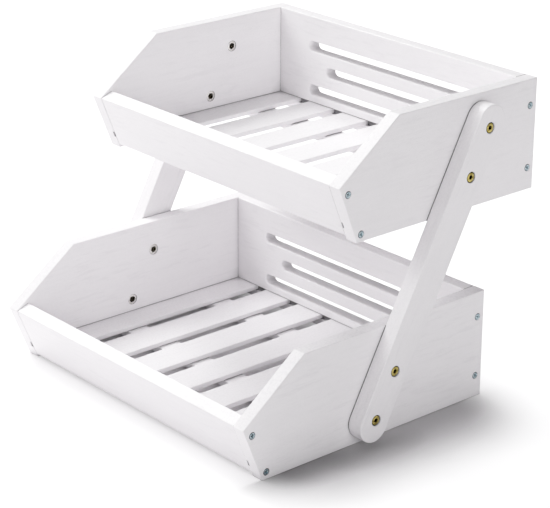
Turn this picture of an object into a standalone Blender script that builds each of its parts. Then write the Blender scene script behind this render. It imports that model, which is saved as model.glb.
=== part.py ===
"""Two-tier slatted fruit stand in painted wood, modelled board by board.

Two open trays, each with two five-sided side boards, a low leaning front board, a slotted back board
and a slatted floor, are stacked in steps on two leaning legs. Lengths are in metres, +Z is up and the
front faces -Y. The origin is at the centre of the footprint, on the surface that the stand rests on.
"""
import math

import bmesh
import bpy
from mathutils import Matrix, Vector

for old_object in list(bpy.data.objects):
    bpy.data.objects.remove(old_object, do_unlink=True)

# Boards
tray_width = 0.380
board = 0.015
edge_round = 0.0015
fit_gap = 0.0003
cut_overrun = 0.002

# Side boards, seen from the side
lip_height = 0.0580
lip_overhang = 0.0232
shoulder_back = 0.0508
wall_height = 0.1142
tray_depth = {"lower": 0.2894, "upper": 0.2370}

# Steps between the two trays
tier_rise = 0.2072
tier_setback = 0.1143
tray_place = {"lower": (0.0, 0.0), "upper": (tier_setback, tier_rise)}

# Front and back boards
rail_raise = 0.0036
slot_height = 0.0106
slot_lip_round = 0.0020
slot_levels = (0.0809, 0.0564, 0.0319)
slot_long_reach = 0.1270
slot_short_reach = 0.1000
slot_reaches = (slot_long_reach, slot_short_reach, slot_long_reach)

# Slatted floor
groove_level = 0.0126
groove_height = 0.0060
groove_depth = 0.0030
slat_width = 0.0385
slat_gap = 0.0155
slat_thickness = 0.0050
slat_round = 0.0010
batten_width = 0.0245
batten_thickness = 0.0080
batten_shares = {"lower": (0.371, 0.770), "upper": (0.257, 0.743)}

# Legs
leg_width = 0.0352
leg_thickness = 0.0172
leg_gap = 0.0008
leg_foot = (0.1245, 0.0237)
leg_head = (0.1559, 0.0889)

# Bolts with sleeve nuts
bolt_inset = {"left": 0.0073, "right": 0.0053}
bolt_pitch = {"left": 0.0587, "right": 0.0503}
bolt_stagger = {"left": 0.0025, "right": 0.0}
bolt_aside = {"left": -0.0013, "right": 0.0}
bolt_length = 0.0262
bolt_shank = 0.0060
bolt_head = 0.0110
bolt_head_height = 0.0030
bolt_rim = 0.0006
bolt_sink = 0.0004
bolt_chamfer = 0.0004
bolt_socket = 0.0040
bolt_socket_depth_share = 0.8
nut_flange = 0.0112
nut_flange_height = 0.0015
nut_barrel = 0.0090
nut_barrel_length = 0.0100
nut_sink = 0.0002
nut_socket = 0.0060
nut_socket_depth_share = 0.4
nut_chamfer = 0.0006

# Wood screws through the side boards
screw_length = 0.0300
screw_shank = 0.0035
screw_head = 0.0072
screw_head_height = 0.0024
screw_recess = 0.0021
screw_recess_depth = 0.0015
screw_recess_floor_share = 0.45
screw_tip_share = 0.2
screw_point_share = 1.3
front_screw_ups = {"low": 0.0076, "high": 0.0502}
back_screw_ups = {"low": 0.0231, "high": 0.0873}
back_screw_share = 0.57

# Facets
ring_steps = 18
screw_steps = 12
slot_steps = 6
lip_steps = 2
corner_steps = 2
round_steps = 2
smooth_angle = math.radians(35)

# Sizes worked out from those above
half_inside = tray_width / 2 - board
lean = math.atan2(lip_overhang, lip_height)
slat_bottom = groove_level + fit_gap
slat_pitch = slat_width + slat_gap
leg_start = Vector((tray_place["lower"][0] + leg_foot[0], tray_place["lower"][1] + leg_foot[1]))
leg_end = Vector((tray_place["upper"][0] + leg_head[0], tray_place["upper"][1] + leg_head[1]))
leg_span = (leg_end - leg_start).length
leg_lean = math.atan2(leg_end.x - leg_start.x, leg_end.y - leg_start.y)


def finish(name, color, roughness, metallic):
    """A Principled material with the finish of one kind of piece."""
    material = bpy.data.materials.new(name)
    material.use_nodes = True
    shader = material.node_tree.nodes["Principled BSDF"]
    shader.inputs["Base Color"].default_value = (*color, 1.0)
    shader.inputs["Roughness"].default_value = roughness
    shader.inputs["Metallic"].default_value = metallic
    material.diffuse_color = (*color, 1.0)
    return material


white_paint = finish("white_paint", (0.86, 0.85, 0.86), 0.55, 0.0)
brass = finish("antique_brass", (0.50, 0.38, 0.18), 0.32, 1.0)
nickel = finish("nickel_plate", (0.66, 0.62, 0.56), 0.34, 1.0)
zinc = finish("bright_zinc", (0.62, 0.66, 0.70), 0.28, 1.0)


def empty(name, location, parent=None):
    """A bare axis cross that carries the pieces of one tray."""
    carrier = bpy.data.objects.new(name, None)
    carrier.location = location
    carrier.parent = parent
    bpy.context.scene.collection.objects.link(carrier)
    return carrier


def place(name, mesh, material, parent, location=(0, 0, 0), turn=(0, 0, 0)):
    """Put a mesh into the scene under its carrier."""
    if not mesh.materials:
        mesh.materials.append(material)
    piece = bpy.data.objects.new(name, mesh)
    piece.location = location
    piece.rotation_euler = turn
    piece.parent = parent
    bpy.context.scene.collection.objects.link(piece)
    return piece


def as_mesh(name, solid, smooth=False):
    """Turn a bmesh into a mesh whose faces point outwards."""
    bmesh.ops.recalc_face_normals(solid, faces=solid.faces)
    mesh = bpy.data.meshes.new(name)
    solid.to_mesh(mesh)
    solid.free()
    if smooth:
        mesh.shade_smooth()
        mesh.set_sharp_from_angle(angle=smooth_angle)
    return mesh


def rounded_outline(corners, radius):
    """A convex outline whose corners are arcs of one radius."""
    outline = []
    for index, corner in enumerate(corners):
        corner = Vector(corner)
        before = (Vector(corners[index - 1]) - corner).normalized()
        after = (Vector(corners[(index + 1) % len(corners)]) - corner).normalized()
        half_angle = before.angle(after) / 2
        centre = corner + (before + after).normalized() * radius / math.sin(half_angle)
        start = corner + before * radius / math.tan(half_angle) - centre
        end = corner + after * radius / math.tan(half_angle) - centre
        turn = end.angle_signed(start)
        for step in range(corner_steps + 1):
            outline.append(centre + Matrix.Rotation(turn * step / corner_steps, 2) @ start)
    return outline


def stadium(half_length, radius, steps):
    """A long outline with fully round ends, its length along the first axis."""
    outline = []
    for side in (1, -1):
        for step in range(steps + 1):
            angle = math.pi * (step / steps - 0.5)
            outline.append(Vector((side * (half_length + radius * math.cos(angle)),
                                   side * radius * math.sin(angle))))
    return outline


def extrude_outline(solid, outline, along, start, end):
    """Add a bar with the given outline between two stations along X or Y."""
    corners = []
    for first, second in outline:
        spot = (start, first, second) if along == "X" else (first, start, second)
        corners.append(solid.verts.new(spot))
    cap = solid.faces.new(corners)
    swept = bmesh.ops.extrude_face_region(solid, geom=[cap])["geom"]
    moved = [item for item in swept if isinstance(item, bmesh.types.BMVert)]
    travel = Vector((end - start, 0, 0)) if along == "X" else Vector((0, end - start, 0))
    bmesh.ops.translate(solid, verts=moved, vec=travel)


def loft(solid, rings, closed=False):
    """Skin a run of rings with equal counts, and cap its ends or join them."""
    loops = [[solid.verts.new(spot) for spot in ring] for ring in rings]
    pairs = list(zip(loops, loops[1:]))
    if closed:
        pairs.append((loops[-1], loops[0]))
    else:
        solid.faces.new(loops[0])
        solid.faces.new(loops[-1])
    for lower, upper in pairs:
        for index in range(len(lower)):
            after = (index + 1) % len(lower)
            solid.faces.new((lower[index], lower[after], upper[after], upper[index]))


def ring(radius_at, level, steps, centre=(0, 0), across="Z"):
    """Points at one level round an axis, with a radius that may follow the angle."""
    spots = []
    for step in range(steps):
        angle = 2 * math.pi * step / steps
        radius = radius_at(angle) if callable(radius_at) else radius_at
        first = centre[0] + radius * math.cos(angle)
        second = centre[1] + radius * math.sin(angle)
        spots.append((level, first, second) if across == "X" else (first, second, level))
    return spots


def hexagon(flats):
    """The radius of a hexagon with the given width across its flats."""
    sixth = math.pi / 3
    return lambda angle: flats / 2 / math.cos(angle % sixth - sixth / 2)


def cross_recess(reach):
    """The radius of a four-armed screwdriver recess."""
    half_arm = reach * math.tan(math.pi / screw_steps)

    def radius_at(angle):
        turn = angle % (math.pi / 2)
        turn = min(turn, math.pi / 2 - turn)
        along_arm = reach / math.cos(turn)
        if turn * screw_steps <= math.pi:
            return along_arm
        return half_arm / math.sin(turn)
    return radius_at


def cut_with(piece, name, solid, parent):
    """Cut a piece with a set of cutters that stay in the file, hidden from renders."""
    cutter = place(name + "_cutter", as_mesh(name + "_cutter", solid), white_paint, parent)
    cutter.display_type = 'WIRE'
    cutter.hide_render = True
    boolean = piece.modifiers.new("cut_outs", 'BOOLEAN')
    boolean.operation = 'DIFFERENCE'
    boolean.solver = 'EXACT'
    boolean.object = cutter


def ease_edges(piece):
    """Round a board over along the outlines of its two broad faces, and leave its corners mitred."""
    weights = piece.data.attributes.new("bevel_weight_edge", 'FLOAT', 'EDGE')
    points = piece.data.vertices
    for edge in piece.data.edges:
        start, end = (points[index].co for index in edge.vertices)
        weights.data[edge.index].value = 1.0 if start.x == end.x else 0.0
    bevel = piece.modifiers.new("eased_edges", 'BEVEL')
    bevel.width = edge_round
    bevel.segments = round_steps
    bevel.limit_method = 'WEIGHT'
    bevel.use_clamp_overlap = False


def lean_inside(level):
    """Depth of the front board's inner face at a height above the tray's foot."""
    return board / math.cos(lean) - level * math.tan(lean)


def screw_spots(tier):
    """Depth and height of the four screws in each side board of a tray."""
    spots = {}
    for level, up in front_screw_ups.items():
        spots["front_" + level] = (board / 2 / math.cos(lean) - up * math.tan(lean), up)
    for level, up in back_screw_ups.items():
        spots["back_" + level] = (tray_depth[tier] - board * back_screw_share, up)
    return spots


def bolt_spots(side):
    """Places of the four bolts across and along a leg, from the centre of its lower round end."""
    inset = bolt_inset[side]
    pitch = bolt_pitch[side]
    front = bolt_aside[side] - bolt_stagger[side] / 2
    back = bolt_aside[side] + bolt_stagger[side] / 2
    return ((front, inset), (back, inset + pitch),
            (front, leg_span - inset - pitch), (back, leg_span - inset))


def on_leg(across, along):
    """Depth and height of a point given across and along a leg."""
    direction = (leg_end - leg_start) / leg_span
    return leg_start + direction * along + Vector((direction.y, -direction.x)) * across


def side_profile(tier):
    """The five corners of a side board, from the bottom front corner round to the bottom back."""
    depth = tray_depth[tier]
    return [(0, 0), (-lip_overhang, lip_height), (shoulder_back, wall_height),
            (depth, wall_height), (depth, 0)]


def side_board(tier, side, hand, carrier):
    """A five-sided board with its floor groove and the holes for screws and bolts."""
    name = f"{tier}_{side}_side_board"
    inner = hand * half_inside
    outer = hand * (half_inside + board)
    solid = bmesh.new()
    extrude_outline(solid, side_profile(tier), "X", inner, outer)
    piece = place(name, as_mesh(name, solid), white_paint, carrier)
    ease_edges(piece)

    cutters = bmesh.new()
    groove = [(-lip_overhang - cut_overrun, groove_level), (tray_depth[tier] + cut_overrun, groove_level),
              (tray_depth[tier] + cut_overrun, groove_level + groove_height),
              (-lip_overhang - cut_overrun, groove_level + groove_height)]
    extrude_outline(cutters, groove, "X", inner - hand * cut_overrun, inner + hand * groove_depth)
    for centre in screw_spots(tier).values():
        drill_seat(cutters, centre, hand, (outer, outer - hand * board), (screw_shank, screw_head),
                   (0, screw_head_height), screw_steps)
    for across, along in bolt_spots(side):
        spot = on_leg(across, along) - Vector(tray_place[tier])
        if -lip_overhang < spot.x < tray_depth[tier] and 0 < spot.y < wall_height:
            drill_nut_hole(cutters, inner, outer, hand, spot)
    cut_with(piece, name, cutters, carrier)


def drill_seat(cutters, centre, hand, faces, widths, depths, steps):
    """Clearance hole between two faces of a board, with a conical seat for a head at the first face."""
    shank, head = (width / 2 + fit_gap for width in widths)
    rim, seat = depths
    stations = [(faces[0] + hand * cut_overrun, head), (faces[0] - hand * rim, head),
                (faces[0] - hand * (seat + fit_gap), shank), (faces[1] - hand * cut_overrun, shank)]
    loft(cutters, [ring(radius, level, steps, centre, "X") for level, radius in stations])


def drill_nut_hole(cutters, inner, outer, hand, centre):
    """Hole for a bolt through a side board, widened from the inside for the barrel and flange of its nut."""
    shank = bolt_shank / 2 + fit_gap
    barrel = nut_barrel / 2 + fit_gap
    flange = nut_flange / 2 + fit_gap
    seat = inner + hand * (nut_sink + nut_flange_height + fit_gap)
    shoulder = seat + hand * nut_barrel_length
    stations = [(inner - hand * cut_overrun, flange), (seat, flange), (seat, barrel), (shoulder, barrel),
                (shoulder, shank), (outer + hand * cut_overrun, shank)]
    loft(cutters, [ring(radius, level, ring_steps, centre, "X") for level, radius in stations])


def screw_pilots(cutters, tier, row):
    """Blind holes in both ends of a front or back board for the tips of the screws."""
    tip = half_inside + board - screw_length - fit_gap
    mouth = half_inside + cut_overrun
    for spot_name, centre in screw_spots(tier).items():
        if spot_name.startswith(row):
            for hand in (-1, 1):
                loft(cutters, [ring(screw_shank / 2 + fit_gap, hand * station, screw_steps, centre, "X")
                               for station in (tip, mouth)])


def front_board(tier, carrier):
    """A low board between the sides that leans out with their front edges."""
    name = f"{tier}_front_board"
    top_inner = (board * math.cos(lean) - lip_overhang, lip_height + board * math.sin(lean))
    corners = [(-rail_raise * math.tan(lean), rail_raise), (lean_inside(rail_raise), rail_raise),
               top_inner, (-lip_overhang, lip_height)]
    solid = bmesh.new()
    half_length = half_inside - fit_gap
    extrude_outline(solid, rounded_outline(corners, edge_round), "X", -half_length, half_length)
    piece = place(name, as_mesh(name, solid), white_paint, carrier)
    cutters = bmesh.new()
    screw_pilots(cutters, tier, "front")
    cut_with(piece, name, cutters, carrier)


def cut_slot(cutters, depth, level, reach):
    """A round-ended slot through the back board, with a rolled lip on both faces."""
    radius = slot_height / 2
    half_length = reach - radius
    stations = []
    for step in range(lip_steps + 1):
        angle = math.pi / 2 * step / lip_steps
        stations.append((slot_lip_round * (1 - math.sin(angle)), slot_lip_round * (1 - math.cos(angle))))
    faces = [(-cut_overrun, slot_lip_round)]
    faces += [(down, slot_lip_round - into) for into, down in stations]
    rings = []
    for into, flare in faces:
        rings.append((depth - board + into, flare))
    for into, flare in reversed(faces):
        rings.append((depth - into, flare))
    loft(cutters, [[(first, station, level + second)
                    for first, second in stadium(half_length, radius + flare, slot_steps)]
                   for station, flare in rings])


def back_board(tier, carrier):
    """A full-height board between the sides, with three slots and the floor's rear groove."""
    name = f"{tier}_back_board"
    depth = tray_depth[tier]
    corners = [(depth - board, rail_raise), (depth, rail_raise), (depth, wall_height),
               (depth - board, wall_height)]
    solid = bmesh.new()
    half_length = half_inside - fit_gap
    extrude_outline(solid, rounded_outline(corners, edge_round), "X", -half_length, half_length)
    piece = place(name, as_mesh(name, solid), white_paint, carrier)
    cutters = bmesh.new()
    groove = [(depth - board - cut_overrun, groove_level), (depth - board + groove_depth, groove_level),
              (depth - board + groove_depth, groove_level + groove_height),
              (depth - board - cut_overrun, groove_level + groove_height)]
    extrude_outline(cutters, groove, "X", -half_inside - cut_overrun, half_inside + cut_overrun)
    for level, reach in zip(slot_levels, slot_reaches):
        cut_slot(cutters, depth, level, reach)
    screw_pilots(cutters, tier, "back")
    cut_with(piece, name, cutters, carrier)


def slat_edges():
    """Left and right edge of each slat: whole slats, then one ripped to fit beside each side board."""
    edges = []
    whole = int((half_inside - slat_width / 2 - slat_gap) / slat_pitch)
    for index in range(-whole, whole + 1):
        edges.append((index * slat_pitch - slat_width / 2, index * slat_pitch + slat_width / 2))
    wall = half_inside + groove_depth - fit_gap
    edges.insert(0, (-wall, edges[0][0] - slat_gap))
    edges.append((edges[-1][1] + slat_gap, wall))
    return edges


def slatted_floor(tier, carrier):
    """Slats from front to back, held in the grooves and tied by two battens beneath."""
    front = lean_inside(slat_bottom) + fit_gap / math.cos(lean)
    back = tray_depth[tier] - board + groove_depth - fit_gap
    top = slat_bottom + slat_thickness
    for number, (left, right) in enumerate(slat_edges(), start=1):
        name = f"{tier}_slat_{number}"
        solid = bmesh.new()
        corners = [(left, slat_bottom), (right, slat_bottom), (right, top), (left, top)]
        extrude_outline(solid, rounded_outline(corners, slat_round), "Y", front, back)
        place(name, as_mesh(name, solid), white_paint, carrier)
    batten_top = slat_bottom - fit_gap
    for row, share in zip(("front", "rear"), batten_shares[tier]):
        middle = tray_depth[tier] * share
        name = f"{tier}_{row}_batten"
        solid = bmesh.new()
        corners = [(middle - batten_width / 2, batten_top - batten_thickness),
                   (middle + batten_width / 2, batten_top - batten_thickness),
                   (middle + batten_width / 2, batten_top), (middle - batten_width / 2, batten_top)]
        half_length = half_inside - fit_gap
        extrude_outline(solid, rounded_outline(corners, slat_round), "X", -half_length, half_length)
        place(name, as_mesh(name, solid), white_paint, carrier)


def screw_mesh():
    """A countersunk wood screw, its head's face at zero and its point down the axis."""
    shank = screw_shank / 2
    recess_floor = screw_recess * screw_recess_floor_share
    rings = [ring(shank * screw_tip_share, -screw_length, screw_steps),
             ring(shank, screw_shank * screw_point_share - screw_length, screw_steps),
             ring(shank, -screw_head_height, screw_steps),
             ring(screw_head / 2, 0, screw_steps),
             ring(cross_recess(screw_recess), 0, screw_steps),
             ring(cross_recess(recess_floor), -screw_recess_depth, screw_steps)]
    solid = bmesh.new()
    loft(solid, rings)
    return as_mesh("wood_screw", solid, smooth=True)


def bolt_mesh():
    """A countersunk socket bolt, its head's face at zero and its point down the axis."""
    shank = bolt_shank / 2
    head = bolt_head / 2
    rings = [ring(shank - bolt_chamfer, -bolt_length, ring_steps),
             ring(shank, bolt_chamfer - bolt_length, ring_steps),
             ring(shank, -bolt_head_height, ring_steps),
             ring(head, -bolt_rim, ring_steps),
             ring(head - bolt_chamfer, 0, ring_steps),
             ring(hexagon(bolt_socket), 0, ring_steps),
             ring(hexagon(bolt_socket), -bolt_head_height * bolt_socket_depth_share, ring_steps)]
    solid = bmesh.new()
    loft(solid, rings)
    return as_mesh("socket_bolt", solid, smooth=True)


def nut_mesh():
    """A flanged sleeve nut, the seat of its flange at zero and its barrel down the axis."""
    flange = nut_flange / 2
    socket_floor = nut_flange_height - nut_barrel_length * nut_socket_depth_share
    bore = bolt_shank / 2 + fit_gap
    rings = [ring(nut_barrel / 2, -nut_barrel_length, ring_steps),
             ring(nut_barrel / 2, 0, ring_steps),
             ring(flange, 0, ring_steps),
             ring(flange, nut_flange_height - nut_chamfer, ring_steps),
             ring(flange - nut_chamfer, nut_flange_height, ring_steps),
             ring(hexagon(nut_socket + 2 * fit_gap), nut_flange_height, ring_steps),
             ring(hexagon(nut_socket + 2 * fit_gap), socket_floor, ring_steps),
             ring(bore, socket_floor - fit_gap, ring_steps),
             ring(bore, -nut_barrel_length, ring_steps)]
    solid = bmesh.new()
    loft(solid, rings, closed=True)
    return as_mesh("sleeve_nut", solid, smooth=True)


def screws(tier, carrier, mesh):
    """Four screws through each side board into the ends of the front and back boards."""
    for side, hand in (("left", -1), ("right", 1)):
        for spot_name, (depth, level) in screw_spots(tier).items():
            place(f"{tier}_{side}_screw_{spot_name}", mesh, zinc, carrier,
                  (hand * (half_inside + board), depth, level), (0, hand * math.pi / 2, 0))


def leg(side, hand, carrier):
    """A round-ended leg on the outside of both trays, with its bolts and nuts."""
    name = f"{side}_leg"
    inner = hand * leg_gap
    outer = hand * (leg_gap + leg_thickness)
    solid = bmesh.new()
    outline = [(across, leg_span / 2 + along)
               for along, across in stadium(leg_span / 2, leg_width / 2, slot_steps * 2)]
    extrude_outline(solid, outline, "X", inner, outer)
    piece = place(name, as_mesh(name, solid), white_paint, carrier,
                  (hand * (half_inside + board), leg_start.x, leg_start.y), (-leg_lean, 0, 0))
    ease_edges(piece)
    cutters = bmesh.new()
    for spot in bolt_spots(side):
        drill_seat(cutters, spot, hand, (outer, inner), (bolt_shank, bolt_head),
                   (bolt_sink + bolt_rim, bolt_sink + bolt_head_height), ring_steps)
    cut_with(piece, name, cutters, piece)
    for number, (across, along) in enumerate(bolt_spots(side), start=1):
        place(f"{side}_bolt_{number}", socket_bolt, brass, piece,
              (outer - hand * bolt_sink, across, along), (0, hand * math.pi / 2, 0))
        place(f"{side}_nut_{number}", sleeve_nut, nickel, piece,
              (hand * (nut_sink + nut_flange_height - board), across, along), (0, -hand * math.pi / 2, 0))


wood_screw = screw_mesh()
socket_bolt = bolt_mesh()
sleeve_nut = nut_mesh()
back_edge = max(tray_depth["lower"], tier_setback + tray_depth["upper"])
stand = empty("stand", (0, -(back_edge - lip_overhang) / 2, 0))
for tier_name, (setback, rise) in tray_place.items():
    tray = empty(tier_name + "_tray", (0, setback, rise), stand)
    side_board(tier_name, "left", -1, tray)
    side_board(tier_name, "right", 1, tray)
    front_board(tier_name, tray)
    back_board(tier_name, tray)
    slatted_floor(tier_name, tray)
    screws(tier_name, tray, wood_screw)
leg("left", -1, stand)
leg("right", 1, stand)
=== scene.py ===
"""Two-tier slatted fruit stand in white painted wood.

Every board, slat, leg, bolt, nut and screw is made here in the order in which the stand is put together,
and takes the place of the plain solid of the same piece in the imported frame. Lengths are in metres.
"""
import math
import random
from functools import partial

import bmesh
import bpy
from mathutils import Matrix, Vector


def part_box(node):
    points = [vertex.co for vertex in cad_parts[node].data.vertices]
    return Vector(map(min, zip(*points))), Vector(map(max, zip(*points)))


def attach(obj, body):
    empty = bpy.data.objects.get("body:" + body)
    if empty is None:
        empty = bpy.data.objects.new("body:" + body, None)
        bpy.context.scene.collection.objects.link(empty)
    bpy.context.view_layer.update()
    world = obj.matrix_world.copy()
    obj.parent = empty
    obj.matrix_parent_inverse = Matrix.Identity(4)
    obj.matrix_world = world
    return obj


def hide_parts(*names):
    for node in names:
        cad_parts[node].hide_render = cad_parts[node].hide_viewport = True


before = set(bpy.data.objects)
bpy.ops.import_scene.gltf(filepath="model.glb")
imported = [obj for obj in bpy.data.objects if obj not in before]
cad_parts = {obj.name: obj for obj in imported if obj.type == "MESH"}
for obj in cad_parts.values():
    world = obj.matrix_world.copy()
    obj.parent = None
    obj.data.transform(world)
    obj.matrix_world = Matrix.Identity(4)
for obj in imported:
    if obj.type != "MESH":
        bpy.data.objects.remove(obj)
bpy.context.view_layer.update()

# Side boards
# Four boards of 15 mm softwood, each sawn to five sides with a low front lip that leans out, ploughed with
# one groove for the edge of the floor, drilled for screws and sleeve nuts, sanded over and sprayed white.
lip_height = 0.0580
lip_overhang = 0.0232
shoulder_back = 0.0508
board_round = 0.0010
round_steps = 4
overrun = 0.002
groove_level = 0.0126
groove_height = 0.0060
groove_depth = 0.0030
screw_hole = 0.0041
screw_seat = 0.0080
screw_seat_depth = 0.0027
nut_hole = 0.0096
nut_hole_depth = 0.0117
nut_seat = 0.0118
nut_seat_depth = 0.0020
bolt_hole = 0.0066
hole_steps = 48
smooth_below = math.radians(35)
face_weight = 60
paint_light = (0.926, 0.902, 0.924)
paint_shade = (0.828, 0.804, 0.830)
corner_shade = (0.440, 0.428, 0.440)
grime_and_shade_tone = (0.060, 0.056, 0.060)
slot_painted_shade = (0.740, 0.722, 0.740)
satin = (0.34, 0.48)
joint_share = 0.80
corner_share = 0.55
ring_share, fibre_share, streak_share, cloud_share = 0.07, 0.50, 0.50, 0.22
speckle_share, pore_share, wear_share = 0.55, 0.45, 0.60
pith_place = (0.0, 0.014, 0.052)
drift_scale = (3.2, 16.0, 16.0)
fibre_scale = (22.0, 620.0, 620.0)
pore_scale = (110.0, 1900.0, 1900.0)
streak_scale = (34.0, 250.0, 250.0)
patch_scale = (9.0, 22.0, 22.0)
cloud_scale = (5.0, 11.0, 11.0)
mottle_scale, ripple_scale = 430.0, 260.0
paint_relief, relief_strength = 0.00018, 0.55
ripple_relief, ring_relief, pore_relief = 0.5, 0.25, 0.8
edge_polish = 0.06
paint_shine = 0.45
log_spans = ((0, 9), (-0.02, 0.02), (-0.004, 0.004))
weld_within, same_within = 1e-7, 1e-6


def add_node(tree, kind, inputs=None, **options):
    """Add a node to a tree, set its options, and set or link its inputs by name or number."""
    node = tree.nodes.new(kind)
    for option, value in options.items():
        setattr(node, option, value)
    for key, value in (inputs or {}).items():
        if isinstance(value, bpy.types.NodeSocket):
            tree.links.new(value, node.inputs[key])
        else:
            node.inputs[key].default_value = value
    return node


def new_group(name, kind, takes, gives):
    """Start a node group and give its two ends. A socket is given as its sort or as its first value."""
    group = bpy.data.node_groups.new(name, kind)
    for label, value in takes.items():
        sort = value if isinstance(value, str) else type(value).__name__.title()
        socket = group.interface.new_socket(label, in_out='INPUT', socket_type="NodeSocket" + sort)
        if sort != value:
            socket.default_value = value
    for label, sort in gives.items():
        group.interface.new_socket(label, in_out='OUTPUT', socket_type="NodeSocket" + sort)
    return group, group.nodes.new("NodeGroupInput").outputs, group.nodes.new("NodeGroupOutput").inputs


def reckon(operation, tree, *values):
    """One arithmetic step on single values, in a shader or a geometry tree."""
    return add_node(tree, "ShaderNodeMath", dict(enumerate(values)), operation=operation).outputs[0]


plus, less, times, larger = (partial(reckon, operation)
                             for operation in ('ADD', 'SUBTRACT', 'MULTIPLY', 'MAXIMUM'))


def vector_step(operation, tree, *values):
    """One arithmetic step on vectors, which may give a vector or a single value."""
    step = add_node(tree, "ShaderNodeVectorMath", dict(enumerate(values)), operation=operation)
    return step.outputs["Value" if operation in ('LENGTH', 'DOT_PRODUCT') else "Vector"]


def ramp(tree, value, low, high, to_low=0.0, to_high=1.0):
    """Carry a value smoothly from one range to another and hold it at the ends."""
    return add_node(tree, "ShaderNodeMapRange",
                    {"Value": value, "From Min": low, "From Max": high, "To Min": to_low, "To Max": to_high},
                    interpolation_type='SMOOTHSTEP').outputs[0]


def stretched_noise(tree, place, stretch, detail, roughness=0.55):
    """Cloudy noise drawn out along the first axis of the place given, which runs with the grain."""
    drawn = add_node(tree, "ShaderNodeMapping", {"Vector": place, "Scale": stretch})
    return add_node(tree, "ShaderNodeTexNoise", {"Vector": drawn.outputs[0], "Scale": 1.0, "Detail": detail,
                                                 "Roughness": roughness}).outputs


def open_grain():
    """Year rings round a pith below the face, with fibres and pores, all running along the first axis."""
    group, take, give = new_group(
        "open_grain", 'ShaderNodeTree', {"Place": "Vector", "Ring Width": 0.004, "Wander": 0.012},
        dict.fromkeys(("Rings", "Fibres", "Pores", "Streaks"), "Float"))
    place = take["Place"]
    drift = vector_step('SUBTRACT', group, stretched_noise(group, place, drift_scale, 2.5)["Color"],
                        (0.5, 0.5, 0.5))
    bent = vector_step('ADD', group, place, vector_step('MULTIPLY', group, drift, take["Wander"]))
    flat = vector_step('MULTIPLY_ADD', group, bent, (0.0, 1.0, 1.0), pith_place)
    rings = reckon('FRACT', group, reckon('DIVIDE', group, vector_step('LENGTH', group, flat),
                                          take["Ring Width"]))
    fibres = stretched_noise(group, bent, fibre_scale, 4.0, 0.62)["Fac"]
    pores = stretched_noise(group, bent, pore_scale, 2.0)["Fac"]
    streaks = stretched_noise(group, bent, streak_scale, 3.0, 0.6)["Fac"]
    patches = stretched_noise(group, place, patch_scale, 1.5)["Fac"]
    late_wood = times(group, ramp(group, rings, 0.30, 0.90), ramp(group, rings, 1.0, 0.93))
    for label, mask in (("Rings", late_wood), ("Fibres", fibres), ("Pores", ramp(group, pores, 0.60, 0.70)),
                        ("Streaks", times(group, ramp(group, streaks, 0.50, 0.68),
                                          ramp(group, patches, 0.42, 0.62, 0.12, 1.0)))):
        group.links.new(mask, give[label])
    return group


def worn_edge():
    """A mask that rises where a face turns over into the next, broken up by fine wear."""
    group, take, give = new_group(
        "worn_edge", 'ShaderNodeTree', {"Place": "Vector", "Reach": 0.0016, "Break Up": 420.0},
        {"Edge": "Float", "Wear": "Float"})
    rounded = add_node(group, "ShaderNodeBevel", {"Radius": take["Reach"]}, samples=6).outputs[0]
    flat = add_node(group, "ShaderNodeNewGeometry").outputs["Normal"]
    edge = ramp(group, vector_step('DOT_PRODUCT', group, rounded, flat), 0.995, 0.90)
    speckle = add_node(group, "ShaderNodeTexNoise", {"Vector": take["Place"], "Scale": take["Break Up"],
                                                     "Detail": 3.0, "Roughness": 0.6})
    group.links.new(edge, give["Edge"])
    group.links.new(times(group, edge, ramp(group, speckle.outputs["Fac"], 0.48, 0.62)), give["Wear"])
    return group


def closed_in():
    """Two masks from how closed in a spot is: tight joints, for dirt and painted shade, and inner corners,
    for painted shade.
    """
    group, take, give = new_group(
        "closed_in", 'ShaderNodeTree', {"Joint Reach": 0.0016, "Corner Reach": 0.0160},
        {"Joint": "Float", "Corner": "Float"})
    for label, open_at, closed_at in (("Joint", 0.62, 0.42), ("Corner", 0.72, 0.20)):
        near = add_node(group, "ShaderNodeAmbientOcclusion", {"Distance": take[label + " Reach"]}, samples=12)
        group.links.new(ramp(group, near.outputs["AO"], open_at, closed_at), give[label])
    return group


def use_group(tree, group, inputs):
    """Place a node group in a material with its own values."""
    return add_node(tree, "ShaderNodeGroup", inputs, node_tree=group).outputs


def mix_colours(tree, share, first, second):
    """Blend two colours by a share."""
    first, second = (colour if isinstance(colour, bpy.types.NodeSocket) else (*colour, 1.0)
                     for colour in (first, second))
    return add_node(tree, "ShaderNodeMix", {0: share, 6: first, 7: second}, data_type='RGBA').outputs[2]


grain_group = open_grain()
edge_group = worn_edge()
closed_group = closed_in()


def new_material(name):
    """Start a material, and return it with its node tree and its shader."""
    material = bpy.data.materials.new(name)
    material.use_nodes = True
    return material, material.node_tree, material.node_tree.nodes["Principled BSDF"]


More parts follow.
